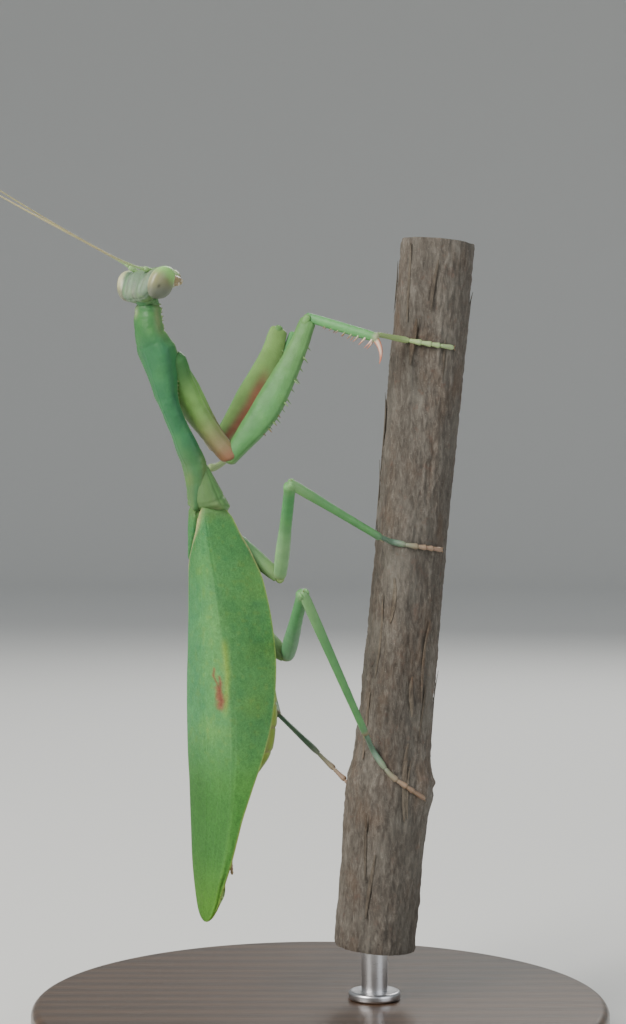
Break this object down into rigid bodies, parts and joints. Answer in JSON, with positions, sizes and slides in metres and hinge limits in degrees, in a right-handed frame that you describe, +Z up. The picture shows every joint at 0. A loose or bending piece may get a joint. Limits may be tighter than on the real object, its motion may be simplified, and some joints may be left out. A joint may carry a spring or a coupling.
{
  "type": "praying mantis",
  "caption": "Still life-size model of a green praying mantis climbing a cut length of cane, wings folded, one foreleg reaching out, on a plain round display stand.",
  "frame": {"origin": "centre of the round base's underside, on the surface that it stands on", "axes": "+Z up along the cane and the mantis's body towards its head, +X from the mantis towards the cane, -Y towards the side from which the mantis's right side and back are both seen"},
  "size_m": [0.0752, 0.066, 0.1017],
  "materials": {
    "green_cuticle": "satin painted resin, the insect's green cuticle",
    "pale_cuticle": "satin painted resin, yellowish green leg bases",
    "tan_cuticle": "satin painted resin, tan to yellow-green",
    "abdomen_cuticle": "satin painted resin, yellow-green",
    "forewing": "satin painted resin, leathery green forewing",
    "hindwing": "thin satin painted resin, pale translucent green",
    "eye": "glossy, olive with a pale rim",
    "bark": "dry fibrous grey-brown bark, matt",
    "base_wood": "dark stained and lacquered hardwood, satin",
    "rod_steel": "brushed"
  },
  "bodies": {
    "root": {"abdomen": "abdomen_cuticle", "antenna_left": "tan_cuticle", "antenna_right": "tan_cuticle", "cercus_left": "abdomen_cuticle", "cercus_right": "abdomen_cuticle", "coxa_fore_left": "pale_cuticle", "coxa_fore_right": "pale_cuticle", "coxa_hind_left": "pale_cuticle", "coxa_hind_right": "pale_cuticle", "coxa_mid_left": "pale_cuticle", "coxa_mid_right": "pale_cuticle", "eye_left": "eye", "eye_right": "eye", "femur_fore_left": "green_cuticle", "femur_fore_right": "green_cuticle", "femur_hind_left": "green_cuticle", "femur_hind_right": "green_cuticle", "femur_mid_left": "green_cuticle", "femur_mid_right": "green_cuticle", "forewing_left": "forewing", "forewing_right": "forewing", "head": "green_cuticle", "hindwing_left": "hindwing", "hindwing_right": "hindwing", "mouthparts": "tan_cuticle", "neck": "green_cuticle", "perch_cane": "bark", "prothorax": "green_cuticle", "pterothorax": "green_cuticle", "stand_base": "base_wood", "stand_rod": "rod_steel", "tarsus_fore_left": "tan_cuticle", "tarsus_fore_right": "tan_cuticle", "tarsus_hind_left": "tan_cuticle", "tarsus_hind_right": "tan_cuticle", "tarsus_mid_left": "tan_cuticle", "tarsus_mid_right": "tan_cuticle", "tibia_fore_left": "green_cuticle", "tibia_fore_right": "green_cuticle", "tibia_hind_left": "green_cuticle", "tibia_hind_right": "green_cuticle", "tibia_mid_left": "green_cuticle", "tibia_mid_right": "green_cuticle"}
  },
  "joints": []
}
